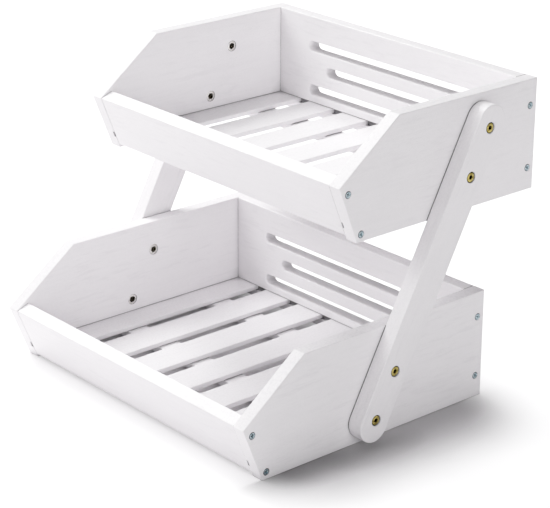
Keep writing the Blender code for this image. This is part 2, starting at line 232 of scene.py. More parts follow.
def painted_wood(name, light, shade_tone, gloss, grime_and_shade_share):
    """Thin white paint that follows the grain beneath it and wears to a fine speckle on the edges."""
    material, tree, shader = new_material(name)
    place, routed, ploughed = (add_node(tree, "ShaderNodeAttribute", attribute_name=label).outputs
                               for label in ("grain_place", "routed", "ploughed"))
    place = place["Vector"]
    rings, fibres, pores, streaks = use_group(tree, grain_group, {"Place": place})
    edge, wear = use_group(tree, edge_group, {"Place": place})
    joint, corner = use_group(tree, closed_group, {})
    cloud = ramp(tree, stretched_noise(tree, place, cloud_scale, 3.0)["Fac"], 0.35, 0.65)
    mottle, ripple = (add_node(tree, "ShaderNodeTexNoise", {"Vector": place, "Scale": scale, "Detail": 2.0})
                      for scale in (mottle_scale, ripple_scale))
    normal = add_node(tree, "ShaderNodeNewGeometry").outputs["Normal"]
    upward = add_node(tree, "ShaderNodeSeparateXYZ", {0: normal}).outputs["Z"]
    speckle = times(tree, ramp(tree, mottle.outputs["Fac"], 0.45, 0.62),
                    ramp(tree, upward, 0.2, 0.8, 0.25, 1.0))
    shade = times(tree, rings, ring_share)
    for mask, share in ((less(tree, fibres, 0.5), fibre_share), (streaks, streak_share),
                        (cloud, cloud_share), (speckle, speckle_share)):
        shade = plus(tree, shade, times(tree, mask, share))
    for mask, share in ((pores, pore_share), (wear, wear_share)):
        shade = larger(tree, shade, times(tree, mask, share))
    colour = mix_colours(tree, shade, light, shade_tone)
    # Painted shade: the slot walls darken inwards, the groove goes near black, inner corners darken, and
    # tight joints darken as dirt and painted shade.
    for share, tone in ((routed["Fac"], slot_painted_shade), (ploughed["Fac"], grime_and_shade_tone),
                        (times(tree, corner, corner_share), corner_shade),
                        (times(tree, joint, grime_and_shade_share), grime_and_shade_tone)):
        colour = mix_colours(tree, share, colour, tone)
    tree.links.new(colour, shader.inputs["Base Color"])
    dull = less(tree, ramp(tree, fibres, 0.30, 0.70, *gloss), times(tree, edge, edge_polish))
    tree.links.new(dull, shader.inputs["Roughness"])
    height = plus(tree, fibres, times(tree, ripple.outputs["Fac"], ripple_relief))
    for mask, share in ((rings, ring_relief), (pores, pore_relief)):
        height = less(tree, height, times(tree, mask, share))
    bump = add_node(tree, "ShaderNodeBump", {"Strength": relief_strength, "Distance": paint_relief,
                                             "Height": height})
    tree.links.new(bump.outputs[0], shader.inputs["Normal"])
    shader.inputs["Specular IOR Level"].default_value = paint_shine
    return material


white_paint = painted_wood("white_satin_paint", paint_light, paint_shade, satin, joint_share)


def new_piece(name, solid, material):
    """Put a finished solid into the scene as one named piece at the origin."""
    bmesh.ops.remove_doubles(solid, verts=solid.verts, dist=weld_within)
    bmesh.ops.recalc_face_normals(solid, faces=solid.faces)
    mesh = bpy.data.meshes.new(name)
    solid.to_mesh(mesh)
    solid.free()
    mesh.materials.append(material)
    piece = bpy.data.objects.new(name, mesh)
    bpy.context.scene.collection.objects.link(piece)
    return piece


def set_shape(piece):
    """Turn what the modifiers of a piece make into its own plain mesh."""
    depsgraph = bpy.context.evaluated_depsgraph_get()
    shaped = bpy.data.meshes.new_from_object(piece.evaluated_get(depsgraph), preserve_all_data_layers=True,
                                             depsgraph=depsgraph)
    piece.modifiers.clear()
    piece.data = shaped


def cut_from(piece, cutters):
    """Saw, plough or drill the shapes of the cutters out of a piece."""
    tool = new_piece("cutter", cutters, white_paint)
    cut = piece.modifiers.new("cut", 'BOOLEAN')
    cut.operation = 'DIFFERENCE'
    cut.solver = 'EXACT'
    cut.object = tool
    set_shape(piece)
    bpy.data.objects.remove(tool)


def sand_smooth(piece):
    """Shade a piece smooth over its rounded edges and flat over its faces."""
    piece.data.shade_smooth()
    piece.data.set_sharp_from_angle(angle=smooth_below)
    weighted = piece.modifiers.new("weighted", 'WEIGHTED_NORMAL')
    weighted.keep_sharp = True
    weighted.weight = face_weight
    set_shape(piece)


def lay_grain(piece, along, face):
    """Give each point its place in the log: along the grain, across the board, and in from its face."""
    across = face.cross(along)
    turn = Matrix((along, across, face))
    chance = random.Random(piece.name)
    log_place = Vector([chance.uniform(*span) for span in log_spans])
    middle = sum((turn @ point.co for point in piece.data.vertices), Vector()) / len(piece.data.vertices)
    log_place -= Vector((0, middle.y, middle.z))
    places = piece.data.attributes.new("grain_place", 'FLOAT_VECTOR', 'POINT')
    for point in piece.data.vertices:
        places.data[point.index].vector = turn @ point.co + log_place


def take_place(piece, slot, *nodes):
    """Fix a finished piece to the stand, in place of the plain solids that stood for it."""
    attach(piece, "root")
    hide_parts(*nodes)


def skin(solid, loops, closed=False):
    """Skin a run of outlines of equal counts, and close its two ends or join them into a ring."""
    loops = [[solid.verts.new(spot) for spot in loop] for loop in loops]
    if closed:
        loops.append(loops[0])
    else:
        solid.faces.new(loops[0])
        solid.faces.new(loops[-1])
    for near, far in zip(loops, loops[1:]):
        for step in range(len(near)):
            after = (step + 1) % len(near)
            solid.faces.new((near[step], near[after], far[after], far[step]))


def prism(solid, outline, start, end):
    """Add a straight length of the given outline between two stations along X."""
    skin(solid, [[(station, *spot) for spot in outline] for station in (start, end)])


def oblong(near, far, low, high):
    """The four corners of an upright oblong."""
    return [(near, low), (far, low), (far, high), (near, high)]


def turned(solid, stations, steps, centre=(0, 0), closed=False):
    """Add a turned shape from radii at stations along X, round a centre in depth and height."""
    loops = []
    for radius, station in stations:
        loops.append([])
        for step in range(steps):
            angle = 2 * math.pi * step / steps
            out = radius(angle) if callable(radius) else radius
            loops[-1].append((station, centre[0] + out * math.cos(angle), centre[1] + out * math.sin(angle)))
    skin(solid, loops, closed)


def middle_of(node):
    """The middle of a node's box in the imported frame."""
    low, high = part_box(node)
    return (low + high) / 2


def ease_outline(piece):
    """Round over the outlines of a board's two broad faces, and leave its corners mitred."""
    weights = piece.data.attributes.new("bevel_weight_edge", 'FLOAT', 'EDGE')
    points = piece.data.vertices
    for edge in piece.data.edges:
        start, end = (points[index].co for index in edge.vertices)
        weights.data[edge.index].value = 1.0 if abs(start.x - end.x) < same_within else 0.0
    bevel = piece.modifiers.new("eased", 'BEVEL')
    bevel.width = board_round
    bevel.segments = round_steps
    bevel.limit_method = 'WEIGHT'
    bevel.use_clamp_overlap = False
    set_shape(piece)


def bore(cutters, node, face, into, sizes):
    """Drill a stepped hole from a face at the middle of a node, from its widths and their depths."""
    stations = [(width / 2, face + into * depth) for width, depth in sizes]
    turned(cutters, stations, hole_steps, middle_of(node).yz)


def side_board(tier, side):
    """One side board with its groove and holes."""
    node = f"{tier}_{side}_side_board"
    low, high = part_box(node)
    hand = 1 if low.x > 0 else -1
    inner, outer = (low.x, high.x) if hand > 0 else (high.x, low.x)
    foot = low.y + lip_overhang
    outline = [(foot, low.z), (low.y, low.z + lip_height), (foot + shoulder_back, high.z),
               (high.y, high.z), (high.y, low.z)]
    solid = bmesh.new()
    prism(solid, outline, inner, outer)
    piece = new_piece("painted_" + node, solid, white_paint)
    ease_outline(piece)
    cutters = bmesh.new()
    groove_low = low.z + groove_level
    prism(cutters, oblong(low.y - overrun, high.y + overrun, groove_low, groove_low + groove_height),
          inner - hand * overrun, inner + hand * groove_depth)
    through = high.x - low.x + overrun
    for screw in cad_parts:
        if screw.startswith(f"{tier}_{side}_screw"):
            bore(cutters, screw, outer, -hand, ((screw_seat, -overrun), (screw_seat, 0.0),
                                                (screw_hole, screw_seat_depth), (screw_hole, through)))
    for number in range(1, 5):
        nut = f"{side}_nut_{number}"
        if low.z < middle_of(nut).z < high.z:
            bore(cutters, nut, inner, hand, ((nut_seat, -overrun), (nut_seat, nut_seat_depth),
                                             (nut_hole, nut_seat_depth), (nut_hole, nut_hole_depth),
                                             (bolt_hole, nut_hole_depth), (bolt_hole, through)))
    cut_from(piece, cutters)
    sand_smooth(piece)
    lay_grain(piece, Vector((0, 1, 0)), Vector((hand, 0, 0)))
    take_place(piece, "painted_wood", node)


for tier in ("lower", "upper"):
    for side in ("left", "right"):
        side_board(tier, side)

# Front boards
# One low board across the front of each tray, leaning out with the front edges of the side boards and
# planed level at its foot. Its ends butt against the sides and two screws hold each end.
board_thickness = 0.015
front_raise = 0.0036
corner_steps = 5


def rounded_outline(corners, radius):
    """A convex outline whose corners are arcs of one radius."""
    outline = []
    for index, corner in enumerate(corners):
        corner = Vector(corner)
        before = (Vector(corners[index - 1]) - corner).normalized()
        after = (Vector(corners[(index + 1) % len(corners)]) - corner).normalized()
        half_angle = before.angle(after) / 2
        centre = corner + (before + after).normalized() * radius / math.sin(half_angle)
        start = corner + before * radius / math.tan(half_angle) - centre
        end = corner + after * radius / math.tan(half_angle) - centre
        turn = end.angle_signed(start)
        for step in range(corner_steps + 1):
            outline.append(centre + Matrix.Rotation(turn * step / corner_steps, 2) @ start)
    return outline


def front_board(tier):
    """One leaning front board."""
    node = tier + "_front_board"
    low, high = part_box(node)
    lean = math.atan2(lip_overhang, lip_height)
    foot, ground = low.y + lip_overhang, low.z - front_raise
    slope = math.tan(lean)
    thick = board_thickness
    corners = [(foot - front_raise * slope, ground + front_raise),
               (foot + thick / math.cos(lean) - front_raise * slope, ground + front_raise),
               (foot + thick * math.cos(lean) - lip_overhang, ground + lip_height + thick * math.sin(lean)),
               (foot - lip_overhang, ground + lip_height)]
    solid = bmesh.new()
    prism(solid, rounded_outline(corners, board_round), low.x, high.x)
    piece = new_piece("painted_" + node, solid, white_paint)
    sand_smooth(piece)
    lay_grain(piece, Vector((1, 0, 0)), Vector((0, -1, 0)))
    take_place(piece, "painted_wood", node)


for tier in ("lower", "upper"):
    front_board(tier)

# Back boards
# One full-height board across the back of each tray with three round-ended slots routed through it, the
# middle one shorter. Both faces of a slot are rolled over, and a groove inside takes the slats' rear ends.
slot_height = 0.0106
slot_lip = 0.0020
slot_lip_steps = 6
slot_end_steps = 14
slot_rows = ((0.0809, 0.127), (0.0564, 0.100), (0.0319, 0.127))
back_raise = 0.0036
cut_slack = 0.0005


def stadium(half_length, radius, steps):
    """A long outline with fully round ends, its length along the first axis."""
    outline = []
    for side in (1, -1):
        for step in range(steps + 1):
            angle = math.pi * (step / steps - 0.5)
            outline.append((side * (half_length + radius * math.cos(angle)), side * radius * math.sin(angle)))
    return outline


def route_slot(cutters, front, back, level, reach):
    """One slot through a back board, flared to a rolled lip at both faces."""
    radius = slot_height / 2
    stations = [(-overrun, slot_lip)]
    for step in range(slot_lip_steps + 1):
        angle = math.pi / 2 * step / slot_lip_steps
        stations.append((slot_lip * (1 - math.cos(angle)), slot_lip * (1 - math.sin(angle))))
    places = [(front + into, flare) for into, flare in stations]
    places += [(back - into, flare) for into, flare in reversed(stations)]
    skin(cutters, [[(along, depth, level + up)
                    for along, up in stadium(reach - radius, radius + flare, slot_end_steps)]
                   for depth, flare in places])


def mark_cuts(piece, rows, groove_low, front, back):
    """Mark the routed walls of the slots, which take painted shade that deepens inwards, and the groove,
    painted darker inwards as shade.
    """
    routed = piece.data.attributes.new("routed", 'FLOAT', 'POINT')
    ploughed = piece.data.attributes.new("ploughed", 'FLOAT', 'POINT')
    for point in piece.data.vertices:
        depth, level = point.co.y - front, point.co.z
        inside = depth / (back - front) * min(1.0, (back - point.co.y) / slot_lip)
        near = min(abs(level - row) for row in rows) < slot_height / 2 + slot_lip
        routed.data[point.index].value = min(1.0, max(0.0, inside)) if near else 0.0
        within = (-cut_slack < level - groove_low < groove_height + cut_slack
                  and depth < groove_depth + cut_slack)
        ploughed.data[point.index].value = min(1.0, max(0.0, depth / groove_depth)) if within else 0.0


def back_board(tier):
    """One back board with its slots and groove."""
    node = tier + "_back_board"
    low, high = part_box(node)
    ground = low.z - back_raise
    solid = bmesh.new()
    prism(solid, rounded_outline(oblong(low.y, high.y, low.z, high.z), board_round), low.x, high.x)
    piece = new_piece("painted_" + node, solid, white_paint)
    cutters = bmesh.new()
    groove_low = ground + groove_level
    prism(cutters, oblong(low.y - overrun, low.y + groove_depth, groove_low, groove_low + groove_height),
          low.x - overrun, high.x + overrun)
    for level, reach in slot_rows:
        route_slot(cutters, low.y, high.y, ground + level, reach)
    cut_from(piece, cutters)
    sand_smooth(piece)
    mark_cuts(piece, [ground + level for level, _ in slot_rows], groove_low, low.y, high.y)
    lay_grain(piece, Vector((1, 0, 0)), Vector((0, -1, 0)))
    take_place(piece, "painted_wood", node)


for tier in ("lower", "upper"):
    back_board(tier)

# Slatted floors
# Five planed slats of one width in each tray and a narrower one ripped to fit beside each side board. They
# run from front to back with even gaps. Their rear ends and the outer edges lie in the boards' grooves.
slat_round = 0.0010
slat_round_steps = 4
slat_gap = 0.0155
log_least = (0.0, -0.012, -0.002)
log_most = (4.0, 0.012, 0.002)
floor_light_with_painted_light = (0.978, 0.955, 0.976)
floor_shade_with_painted_light = (0.895, 0.872, 0.897)
matt = (0.42, 0.56)
floor_joint_share = 0.50
slat_seeds = (("lower", 11), ("upper", 23))
bar_sizes = {"Thickness": 0.005, "Edge Round": 0.001, "Round Steps": 4, "Front": 0.0, "Back": 0.2}
row_takes = {**bar_sizes, "Width": 0.0385, "Bottom": 0.0, "Seed": 3, "Paint": "Material"}


def planed_bar():
    """A bar along Y with four rounded edges, its middle at zero and its underside on zero height."""
    tree, take, give = new_group("planed_bar", 'GeometryNodeTree', {**bar_sizes, "Width": 0.04},
                                 {"Bar": "Geometry"})
    make = partial(add_node, tree)
    outline = make("GeometryNodeCurvePrimitiveQuadrilateral",
                   {"Width": take["Width"], "Height": take["Thickness"]}, mode='RECTANGLE')
    eased = make("GeometryNodeFilletCurve", {"Curve": outline.outputs[0], "Radius": take["Edge Round"],
                                             "Count": take["Round Steps"]}, mode='POLY')
    cap = make("GeometryNodeFillCurve", {"Curve": eased.outputs[0]}, mode='NGONS')
    bar = make("GeometryNodeExtrudeMesh", {"Mesh": cap.outputs[0], "Individual": False,
                                           "Offset Scale": less(tree, take["Back"], take["Front"])})
    far_cap = make("GeometryNodeFlipFaces", {"Mesh": cap.outputs[0]})
    closed = make("GeometryNodeJoinGeometry")
    for part in (bar, far_cap):
        tree.links.new(part.outputs[0], closed.inputs[0])
    merged = make("GeometryNodeMergeByDistance", {"Geometry": closed.outputs[0], "Distance": same_within})
    half = times(tree, take["Thickness"], 0.5)
    place = make("ShaderNodeCombineXYZ", {"X": 0.0, "Y": take["Back"], "Z": half})
    laid = make("GeometryNodeTransform", {"Geometry": merged.outputs[0], "Translation": place.outputs[0],
                                          "Rotation": (math.pi / 2, 0.0, 0.0)})
    tree.links.new(laid.outputs[0], give["Bar"])
    return tree


def mark(tree, geometry, label, value, domain='POINT'):
    """Store a vector on each point or each copy."""
    return add_node(tree, "GeometryNodeStoreNamedAttribute",
                    {"Geometry": geometry, "Name": label, "Value": value},
                    data_type='FLOAT_VECTOR', domain=domain).outputs[0]


def row_of_bars(tree, take, bar_group, width, count, first, pitch):
    """Bars side by side along X, each cut from its own place in the log."""
    make = partial(add_node, tree)
    bar = make("GeometryNodeGroup", {"Width": width, **{label: take[label] for label in bar_sizes}},
               node_tree=bar_group)
    spot = make("GeometryNodeInputPosition").outputs[0]
    across, along, deep = make("ShaderNodeSeparateXYZ", {0: spot}).outputs
    with_grain = make("ShaderNodeCombineXYZ", {"X": along, "Y": across, "Z": deep})
    marked = mark(tree, bar.outputs[0], "grain_place", with_grain.outputs[0])
    begin = make("ShaderNodeCombineXYZ", {"X": first, "Y": 0.0, "Z": take["Bottom"]})
    step = make("ShaderNodeCombineXYZ", {"X": pitch})
    line = make("GeometryNodeMeshLine", {"Count": count, "Start Location": begin.outputs[0],
                                         "Offset": step.outputs[0]}, mode='OFFSET')
    laid = make("GeometryNodeInstanceOnPoints", {"Points": line.outputs[0], "Instance": marked})
    chance = make("FunctionNodeRandomValue", {0: log_least, 1: log_most, "Seed": take["Seed"]},
                  data_type='FLOAT_VECTOR')
    return mark(tree, laid.outputs[0], "log_place", chance.outputs[0], 'INSTANCE')


def end_tree(tree, take, give, rows):
    """Make the rows one plain mesh, add up each point's place in the log, and give it its paint."""
    make = partial(add_node, tree)
    together = make("GeometryNodeJoinGeometry")
    for row in rows:
        tree.links.new(row, together.inputs[0])
    plain = make("GeometryNodeRealizeInstances", {"Geometry": together.outputs[0]})
    own, log = (make("GeometryNodeInputNamedAttribute", {"Name": label}, data_type='FLOAT_VECTOR').outputs[0]
                for label in ("grain_place", "log_place"))
    marked = mark(tree, plain.outputs[0], "grain_place", vector_step('ADD', tree, own, log))
    painted = make("GeometryNodeSetMaterial", {"Geometry": marked, "Material": take["Paint"]})
    tree.links.new(painted.outputs[0], give[0])


def slatted_floor(bar_group):
    """A row of whole slats with a narrower one at each side, all fitted between two walls."""
    tree, take, give = new_group(
        "slatted_floor", 'GeometryNodeTree',
        {**row_takes, "Slat Count": 5, "Gap": 0.0155, "Floor Half Width": 0.17}, {"Floor": "Geometry"})
    width, half_floor = take["Width"], take["Floor Half Width"]
    pitch = plus(tree, width, take["Gap"])
    last = times(tree, pitch, times(tree, less(tree, take["Slat Count"], 1.0), 0.5))
    whole = row_of_bars(tree, take, bar_group, width, take["Slat Count"], times(tree, last, -1.0), pitch)
    edge = plus(tree, plus(tree, last, times(tree, width, 0.5)), take["Gap"])
    side_middle = times(tree, plus(tree, half_floor, edge), 0.5)
    sides = row_of_bars(tree, take, bar_group, less(tree, half_floor, edge), 2,
                        times(tree, side_middle, -1.0), times(tree, side_middle, 2.0))
    end_tree(tree, take, give, (whole, sides))
    return tree


def grow(name, tree, inputs, points=None):
    """Run a geometry tree on a new piece with the given inputs and keep the result as plain mesh."""
    mesh = points or bpy.data.meshes.new(name)
    piece = bpy.data.objects.new(name, mesh)
    bpy.context.scene.collection.objects.link(piece)
    run = piece.modifiers.new("made", 'NODES')
    run.node_group = tree
    for item in tree.interface.items_tree:
        if item.item_type == 'SOCKET' and item.in_out == 'INPUT' and item.name in inputs:
            run[item.identifier] = inputs[item.name]
    set_shape(piece)
    return piece


# The slats and battens take a matt copy of the white paint that is made lighter: the extra lightness is
# painted light.
floor_paint_with_painted_light = painted_wood("white_matt_paint", floor_light_with_painted_light, floor_shade_with_painted_light, matt, floor_joint_share)
bar_tree = planed_bar()
floor_tree = slatted_floor(bar_tree)
for tier, seed in slat_seeds:
    slats = [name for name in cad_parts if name.startswith(tier + "_slat_")]
    low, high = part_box(tier + "_slat_4")
    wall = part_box(tier + "_slat_7")[1].x
    piece = grow(f"painted_{tier}_slats", floor_tree,
                 {"Slat Count": 5, "Width": high.x - low.x, "Gap": slat_gap, "Floor Half Width": wall,
                  "Thickness": high.z - low.z, "Edge Round": slat_round, "Round Steps": slat_round_steps,
                  "Front": low.y, "Back": high.y, "Bottom": low.z, "Seed": seed, "Paint": floor_paint_with_painted_light})
    sand_smooth(piece)
    take_place(piece, "painted_wood", *slats)

# Battens
# Two flat battens under each floor, planed on four sides, that tie the slats together from side to side.
batten_round = 0.0010
batten_seeds = (("lower", 5), ("upper", 8))


def batten_pair(bar_group):
    """Two bars along X at two depths, made as a row of two and turned a quarter."""
    tree, take, give = new_group("batten_pair", 'GeometryNodeTree',
                                 {**row_takes, "First Depth": 0.0, "Spacing": 0.1}, {"Battens": "Geometry"})
    row = row_of_bars(tree, take, bar_group, take["Width"], 2, take["First Depth"], take["Spacing"])
    quarter_turn = (0.0, 0.0, math.pi / 2)
    laid = add_node(tree, "GeometryNodeTransform", {"Geometry": row, "Rotation": quarter_turn})
    end_tree(tree, take, give, (laid.outputs[0],))
    return tree


batten_tree = batten_pair(bar_tree)
for tier, seed in batten_seeds:
    front, rear = (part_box(f"{tier}_{row}_batten") for row in ("front", "rear"))
    depth = (front[0].y + front[1].y) / 2
    spacing = (rear[0].y + rear[1].y) / 2 - depth
    piece = grow(f"painted_{tier}_battens", batten_tree,
                 {"Width": front[1].y - front[0].y, "Thickness": front[1].z - front[0].z,
                  "Edge Round": batten_round, "Round Steps": slat_round_steps, "Front": front[0].x,
                  "Back": front[1].x, "Bottom": front[0].z, "First Depth": depth, "Spacing": spacing,
                  "Seed": seed, "Paint": floor_paint_with_painted_light})
    sand_smooth(piece)
    take_place(piece, "painted_wood", f"{tier}_front_batten", f"{tier}_rear_batten")

# Legs
# One straight bar with round ends on each outer side, leaning back from the lower tray to the upper.
# Four bolts in countersunk holes clamp it, two through each tray.
leg_width = 0.0352
leg_end_steps = 32
bolt_seat = 0.0116
bolt_seat_rim = 0.0010
bolt_seat_depth = 0.0037


def leg(side):
    """One leg, found from the box and the bolts of its plain solid."""
    node = side + "_leg"
    low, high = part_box(node)
    hand = 1 if low.x > 0 else -1
    inner, outer = (low.x, high.x) if hand > 0 else (high.x, low.x)
    radius = leg_width / 2
    foot = Vector((low.y + radius, low.z + radius))
    head = Vector((high.y - radius, high.z - radius))
    span = (head - foot).length
    direction = (head - foot) / span
    aside = Vector((direction.y, -direction.x))
    outline = [(foot + head) / 2 + direction * along + aside * across
               for along, across in stadium(span / 2, radius, leg_end_steps)]
    solid = bmesh.new()
    prism(solid, outline, inner, outer)
    piece = new_piece("painted_" + node, solid, white_paint)
    ease_outline(piece)
    cutters = bmesh.new()
    for number in range(1, 5):
        bore(cutters, f"{side}_bolt_{number}", outer, -hand,
             ((bolt_seat, -overrun), (bolt_seat, bolt_seat_rim), (bolt_hole, bolt_seat_depth),
              (bolt_hole, high.x - low.x + overrun)))
    cut_from(piece, cutters)
    sand_smooth(piece)
    lay_grain(piece, Vector((0, direction.x, direction.y)), Vector((hand, 0, 0)))
    take_place(piece, "painted_wood", node)


for side in ("left", "right"):
    leg(side)

# Bolts
# Eight countersunk socket bolts plated in antique brass, sunk flush in the legs, with a hexagon socket
# that shows dark in the middle: the socket, the rim and the shank are painted dark as shade and patina.
# Their shanks run through the boards into the sleeve nuts.
bolt_head = 0.0110
bolt_shank = 0.0060
bolt_length = 0.0262
bolt_head_height = 0.0030
bolt_rim = 0.0009
bolt_chamfer = 0.0004
bolt_socket = 0.0040
bolt_socket_depth = 0.0024
bolt_steps = 48
dome_steps = 5
bolt_bright_to = 0.00433
plating_gloss = (0.24, 0.40)
brass_light = (0.60, 0.49, 0.15)
brass_dark = (0.20, 0.15, 0.035)
patina_and_shade_depth = 0.12
wobble_scale, smudge_scale, nick_scale = 700.0, 420.0, 1500.0
smudge_share, nick_share, rubbed_share = 0.75, 0.70, 0.30
turning_relief, metal_relief, metal_relief_strength = 0.4, 0.00005, 0.4
bolt_seed = 4


def hexagon(flats):
    """The radius of a hexagon with the given width across its flats."""
    sixth = math.pi / 3
    return lambda angle: flats / 2 / math.cos(angle % sixth - sixth / 2)


def domed(rim, flat, rise, steps):
    """Stations of a head that curves over from its rim to the flat round its recess."""
    return [(flat + (rim - flat) * math.cos(math.pi / 2 * step / steps),
             -rise * (1 - math.sin(math.pi / 2 * step / steps))) for step in range(steps + 1)]


def handled_metal():
    """Marks left on plated hardware: rings from turning, smudges from hands, small nicks, and a rim and
    recess mask for patina and painted shade.
    """
    group, take, give = new_group(
        "handled_metal", 'ShaderNodeTree',
        {"Place": "Vector", "Rings Per Metre": 5200.0, "Rim": 0.0050, "Face": 0.0},
        dict.fromkeys(("Turning", "Smudge", "Nicks", "Patina"), "Float"))
    place = take["Place"]
    reach = vector_step('LENGTH', group, vector_step('MULTIPLY', group, place, (0.0, 1.0, 1.0)))
    wobble = add_node(group, "ShaderNodeTexNoise", {"Vector": place, "Scale": wobble_scale, "Detail": 2.0})
    turns = plus(group, times(group, reach, take["Rings Per Metre"]),
                 times(group, wobble.outputs["Fac"], 1.5))
    smudge = add_node(group, "ShaderNodeTexNoise", {"Vector": place, "Scale": smudge_scale, "Detail": 4.0,
                                                    "Roughness": 0.6})
    nicks = add_node(group, "ShaderNodeTexVoronoi", {"Vector": place, "Scale": nick_scale})
    depth = less(group, take["Face"], add_node(group, "ShaderNodeSeparateXYZ", {0: place}).outputs["X"])
    patina_and_shade = larger(group, ramp(group, less(group, reach, take["Rim"]), 0.0, 0.0005),
                    ramp(group, depth, 0.0006, 0.0016))
    for label, mask in (("Turning", reckon('PINGPONG', group, turns, 1.0)),
                        ("Smudge", ramp(group, smudge.outputs["Fac"], 0.38, 0.64)),
                        ("Nicks", ramp(group, nicks.outputs["Distance"], 0.16, 0.04)), ("Patina", patina_and_shade)):
        group.links.new(mask, give[label])
    return group


metal_group = handled_metal()


def plated_metal(name, light, dark, gloss, bright_to, face=0.0, depth=patina_and_shade_depth):
    """Plating that is bright where it is handled and dark in the marks, and painted dark as shade, with
    patina on brass, round the rim and in the recess.
    """
    material, tree, shader = new_material(name)
    place = add_node(tree, "ShaderNodeAttribute", attribute_name="own_place").outputs["Vector"]
    turning, smudge, nicks, patina_and_shade = use_group(tree, metal_group,
                                               {"Place": place, "Rim": bright_to, "Face": face})
    edge = use_group(tree, edge_group, {"Place": place, "Reach": 0.0004, "Break Up": 1800.0})["Edge"]
    shade = larger(tree, times(tree, smudge, smudge_share), times(tree, nicks, nick_share))
    worn = mix_colours(tree, less(tree, shade, times(tree, edge, rubbed_share)), light, dark)
    # Painted shade, with patina on the brass, darkens the rim and the recess.
    deep = tuple(tone * depth for tone in dark)
    tree.links.new(mix_colours(tree, patina_and_shade, worn, deep), shader.inputs["Base Color"])
    tree.links.new(ramp(tree, smudge, 0.0, 1.0, *gloss), shader.inputs["Roughness"])
    height = less(tree, times(tree, turning, turning_relief), nicks)
    bump = add_node(tree, "ShaderNodeBump", {"Strength": metal_relief_strength, "Distance": metal_relief,
                                             "Height": height})
    tree.links.new(bump.outputs[0], shader.inputs["Normal"])
    shader.inputs["Metallic"].default_value = 1.0
    return material


def driven_fixings():
    """One fixing at each point, facing the way the point says and stopped at its own turn."""
    tree, take, give = new_group(
        "driven_fixings", 'GeometryNodeTree',
        {"Places": "Geometry", "Shape": "Object", "Most Turn": math.tau, "Seed": 1, "Plating": "Material"},
        {"Fixings": "Geometry"})
    make = partial(add_node, tree)
    shape = make("GeometryNodeObjectInfo", {"Object": take["Shape"]}).outputs["Geometry"]
    marked = mark(tree, shape, "own_place", make("GeometryNodeInputPosition").outputs[0])
    facing = make("GeometryNodeInputNamedAttribute", {"Name": "facing"}, data_type='FLOAT_VECTOR')
    aimed = make("FunctionNodeAlignRotationToVector", {"Vector": facing.outputs[0]}, axis='X')
    chance = make("FunctionNodeRandomValue", {2: 0.0, 3: take["Most Turn"], "Seed": take["Seed"]},
                  data_type='FLOAT')
    spin = make("FunctionNodeAxisAngleToRotation", {"Axis": (1.0, 0.0, 0.0), "Angle": chance.outputs[1]})
    stopped = make("FunctionNodeRotateRotation", {"Rotation": aimed.outputs[0], "Rotate By": spin.outputs[0]},
                   rotation_space='LOCAL')
    driven = make("GeometryNodeInstanceOnPoints", {"Points": take["Places"], "Instance": marked,
                                                   "Rotation": stopped.outputs[0]})
    plain = make("GeometryNodeRealizeInstances", {"Geometry": driven.outputs[0]})
    plated = make("GeometryNodeSetMaterial", {"Geometry": plain.outputs[0], "Material": take["Plating"]})
    tree.links.new(plated.outputs[0], give[0])
    return tree


fixing_tree = driven_fixings()


def heads_of(word, outward=1, below=0.0):
    """Each fixing of one kind, with the place of its head, which may lie below its end, and its way out."""
    heads = {}
    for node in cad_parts:
        if f"_{word}_" in node:
            low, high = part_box(node)
            middle = middle_of(node)
            hand = outward if middle.x > 0 else -outward
            end = high.x if hand > 0 else low.x
            heads[node] = Vector((end - hand * below, middle.y, middle.z)), Vector((hand, 0, 0))
    return heads


def drive(name, solid, slot, plating, seed, heads):
    """Set one shape at every head, where heads holds each node with its place and its way out."""
    shape = new_piece(name + "_shape", solid, plating)
    shape.data.shade_smooth()
    shape.data.set_sharp_from_angle(angle=smooth_below)
    points = bpy.data.meshes.new(name)
    points.from_pydata([place for place, _ in heads.values()], [], [])
    ways = points.attributes.new("facing", 'FLOAT_VECTOR', 'POINT')
    for index, (_, way) in enumerate(heads.values()):
        ways.data[index].vector = way
    piece = grow(name, fixing_tree, {"Shape": shape, "Most Turn": math.tau, "Seed": seed, "Plating": plating},
                 points)
    bpy.data.objects.remove(shape)
    take_place(piece, slot, *heads)


antique_brass = plated_metal("antique_brass", brass_light, brass_dark, plating_gloss, bolt_bright_to)
bolt = bmesh.new()
bolt_radius, shank_radius = bolt_head / 2, bolt_shank / 2
turned(bolt, [(shank_radius - bolt_chamfer, -bolt_length), (shank_radius, bolt_chamfer - bolt_length),
              (shank_radius, -bolt_head_height),
              *domed(bolt_radius, bolt_socket / 2 + bolt_chamfer * 2, bolt_rim, dome_steps),
              (hexagon(bolt_socket + bolt_chamfer), 0.0), (hexagon(bolt_socket), -bolt_chamfer),
              (hexagon(bolt_socket), -bolt_socket_depth)], bolt_steps)
drive("brass_bolts", bolt, "brass", antique_brass, bolt_seed, heads_of("bolt"))

